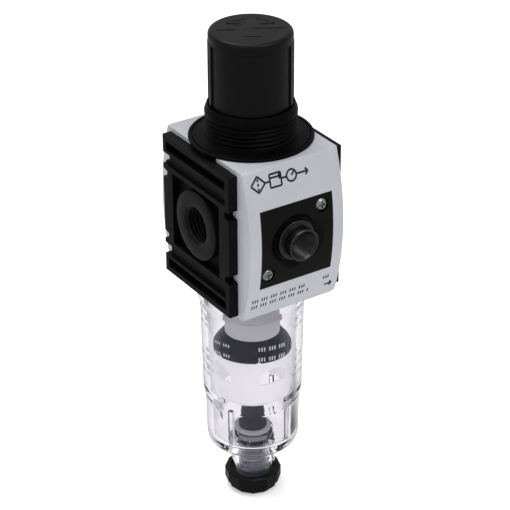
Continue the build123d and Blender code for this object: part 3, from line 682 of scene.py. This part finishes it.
def knob_marks():
    """Raised turning arrows, plus, minus and plain bars on the knob's cap."""
    height = 0.12
    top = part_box("knob")[1].z
    turn = Matrix.Rotation(GRIP_HEADING, 4, "Z")

    def spread(x, y, lift):
        return turn @ Vector((x * MM, y * MM, top + lift * MM))

    bar_width, arrow_width, sign_width = 0.5, 0.7, 0.6
    bars = (((0.5, 0.7), (10.6, 0.7)), ((-10.8, -0.6), (-4.6, -0.6)), ((-1.6, -6.0), (3.4, -6.0)))
    strokes = [(line(start, end), bar_width) for start, end in bars]
    radius, barb = 8.4, 1.6
    sign_x, sign_y, sign_half = 4.4, 4.2, 1.4
    for side in (-1, 1):
        first, last = radians(90 - side * 12), radians(90 - side * 60)
        strokes.append((arc((0, 0), radius, first, last), arrow_width))
        tip = (radius * cos(last), radius * sin(last))
        back = last + side * radians(14)
        for reach in (radius - barb, radius + barb):
            strokes.append((line((reach * cos(back), reach * sin(back)), tip), sign_width))
        x = side * sign_x
        strokes.append((line((x - sign_half, sign_y), (x + sign_half, sign_y)), sign_width))
    strokes.append((line((-sign_x, sign_y - sign_half), (-sign_x, sign_y + sign_half)), sign_width))
    marks("knob_marks", strokes, height, spread, "knob", "black_knob")


# --- stage -------------------------------------------------------------------------------------
def floor():
    """Large pale floor under the drain knob."""
    side = 4.0
    z = BOTTOM_Z - 0.2 * MM
    mesh = bpy.data.meshes.new("floor")
    corners = [(-side, -side, z), (side, -side, z), (side, side, z), (-side, side, z)]
    mesh.from_pydata(corners, [], [(0, 1, 2, 3)])
    plane = bpy.data.objects.new("floor", mesh)
    bpy.context.scene.collection.objects.link(plane)
    s = Shader("floor")
    tone = s.blend(s.noise(0.3, 2.0), (0.90, 0.90, 0.905, 1), (0.93, 0.93, 0.93, 1))
    matte = s.node("BsdfPrincipled", {
        "Base Color": tone, "Roughness": 0.9, "Specular IOR Level": 0.1,
        "Emission Color": (1, 1, 1, 1), "Emission Strength": 0.34,
    })
    mesh.materials.append(s.finish(matte.outputs["BSDF"]))
    plane.visible_glossy = False


def flag(name, near, far, front, rear):
    """Dark card on the floor, seen only through the bowl and only from the camera's side.

    It draws the clear wall's edge. From the object's axis, near and far are distances to the camera's
    right, and front and rear are distances away from the camera, in mm. The card fades out towards its
    rear edge.
    """
    corners = [Vector((x, y, 0)) * MM for x, y in ((near, front), (near, rear), (far, rear), (far, front))]
    mesh = bpy.data.meshes.new(name)
    mesh.from_pydata([tuple(corner) for corner in corners], [], [(0, 1, 2, 3)])
    card = bpy.data.objects.new(name, mesh)
    card.matrix_world = Matrix.Translation((0, 0, BOTTOM_Z)) @ Matrix.Rotation(-CAMERA_HEADING, 4, "Z")
    bpy.context.scene.collection.objects.link(card)
    s = Shader(name)
    tone = s.blend(s.noise(0.1, 2.0), (0.07, 0.07, 0.075, 1), (0.08, 0.08, 0.085, 1))
    dark = s.node("BsdfPrincipled", {"Base Color": tone, "Roughness": 0.9}).outputs["BSDF"]
    unseen = s.node("BsdfTransparent").outputs["BSDF"]
    ahead = s.node("SeparateXYZ", {"Vector": s.place}).outputs["Y"]
    fade = s.ramp(ahead, 0.0, 1.0, rear * 0.4 * MM, rear * MM)
    to_viewer = s.node("NewGeometry").outputs["Incoming"]
    to_camera = (-sin(CAMERA_HEADING), -cos(CAMERA_HEADING), 0.0)
    agree = s.node("VectorMath", {0: to_viewer, 1: to_camera}, operation="DOT_PRODUCT").outputs["Value"]
    share = s.math("MAXIMUM", fade, s.ramp(agree, 1.0, 0.0, 0.1, 0.4))
    mix = s.node("MixShader", {0: share, 1: dark, 2: unseen})
    mesh.materials.append(s.finish(mix.outputs["Shader"]))
    card.visible_camera = False
    card.visible_shadow = False
    card.visible_diffuse = False
    card.visible_glossy = False


def area_light(name, heading, elevation, distance, size, power):
    """Square soft box aimed at the housing, from a heading (0 is +X) and an elevation in degrees."""
    light = bpy.data.lights.new(name, "AREA")
    light.size = size
    light.energy = power
    lamp = bpy.data.objects.new(name, light)
    bpy.context.scene.collection.objects.link(lamp)
    a, e = radians(heading), radians(elevation)
    away = Vector((cos(a) * cos(e), sin(a) * cos(e), sin(e)))
    target = Vector((0, 0, PORT_Z))
    lamp.location = target + away * distance
    lamp.rotation_euler = away.to_track_quat("Z", "Y").to_euler()


def lights():
    """Soft boxes from the front right, the left and behind."""
    area_light("key", -75, 55, 0.9, 0.55, 2.7)
    area_light("fill", -160, 35, 1.0, 0.6, 1.0)
    area_light("back", 110, 70, 0.9, 0.6, 5.2)


def surroundings():
    """White to the camera and through the bowl, and an even grey to everything else."""
    world = bpy.data.worlds.new("studio")
    bpy.context.scene.world = world
    world.use_nodes = True
    nodes, links = world.node_tree.nodes, world.node_tree.links
    nodes.clear()
    output = nodes.new("ShaderNodeOutputWorld")
    seen = nodes.new("ShaderNodeBackground")
    seen.inputs["Color"].default_value = (1.0, 1.0, 1.0, 1.0)
    around = nodes.new("ShaderNodeBackground")
    around.inputs["Color"].default_value = (1.0, 1.0, 1.0, 1.0)
    around.inputs["Strength"].default_value = 0.5
    choose = nodes.new("ShaderNodeMixShader")
    path = nodes.new("ShaderNodeLightPath")
    straight = nodes.new("ShaderNodeMath")
    straight.operation = "MAXIMUM"
    links.new(path.outputs["Is Camera Ray"], straight.inputs[0])
    links.new(path.outputs["Is Transmission Ray"], straight.inputs[1])
    links.new(straight.outputs["Value"], choose.inputs[0])
    links.new(around.outputs["Background"], choose.inputs[1])
    links.new(seen.outputs["Background"], choose.inputs[2])
    links.new(choose.outputs["Shader"], output.inputs["Surface"])


def camera():
    """Long lens from the front left and above, as in the reference view."""
    azimuth, elevation, roll = CAMERA_HEADING, radians(29.108), radians(-0.3)
    distance = 0.65298
    aim_below_ports = 17.69 * MM
    target = Vector((0, 0, PORT_Z - aim_below_ports))
    back = Vector((-sin(azimuth) * cos(elevation), -cos(azimuth) * cos(elevation), sin(elevation)))
    right = Vector((cos(azimuth), -sin(azimuth), 0))
    up = back.cross(right)
    tilted_right = right * cos(roll) + up * sin(roll)
    tilted_up = back.cross(tilted_right)
    lens = bpy.data.cameras.new("camera")
    lens.sensor_width = 36
    lens.lens = 139.2
    lens.shift_x, lens.shift_y = 0.0062, 0.0013
    view = bpy.data.objects.new("camera", lens)
    view.matrix_world = Matrix.Translation(target + back * distance) @ Matrix(
        (tilted_right, tilted_up, back)).transposed().to_4x4()
    bpy.context.scene.collection.objects.link(view)
    bpy.context.scene.camera = view


def tone():
    """Plain colours, and enough bounces for light to get through the bowl and what it holds."""
    scene = bpy.context.scene
    scene.view_settings.view_transform = "Standard"
    scene.view_settings.look = "None"
    scene.cycles.transparent_max_bounces = 24
    scene.cycles.transmission_bounces = 16
    scene.cycles.max_bounces = 16


# --- build -------------------------------------------------------------------------------------
dress_cad_nodes()
threaded_bonnet()
threaded_bushing(-1, "inlet_bushing")
threaded_bushing(1, "outlet_bushing")
threaded_adapter()
springs()
rolling_diaphragm()
cover_prints()
bowl_prints()
knob_marks()
floor()
flag("right_flag", near=24, far=160, front=-40, rear=62)
flag("left_flag", near=-260, far=-110, front=-60, rear=160)
lights()
surroundings()
camera()
tone()
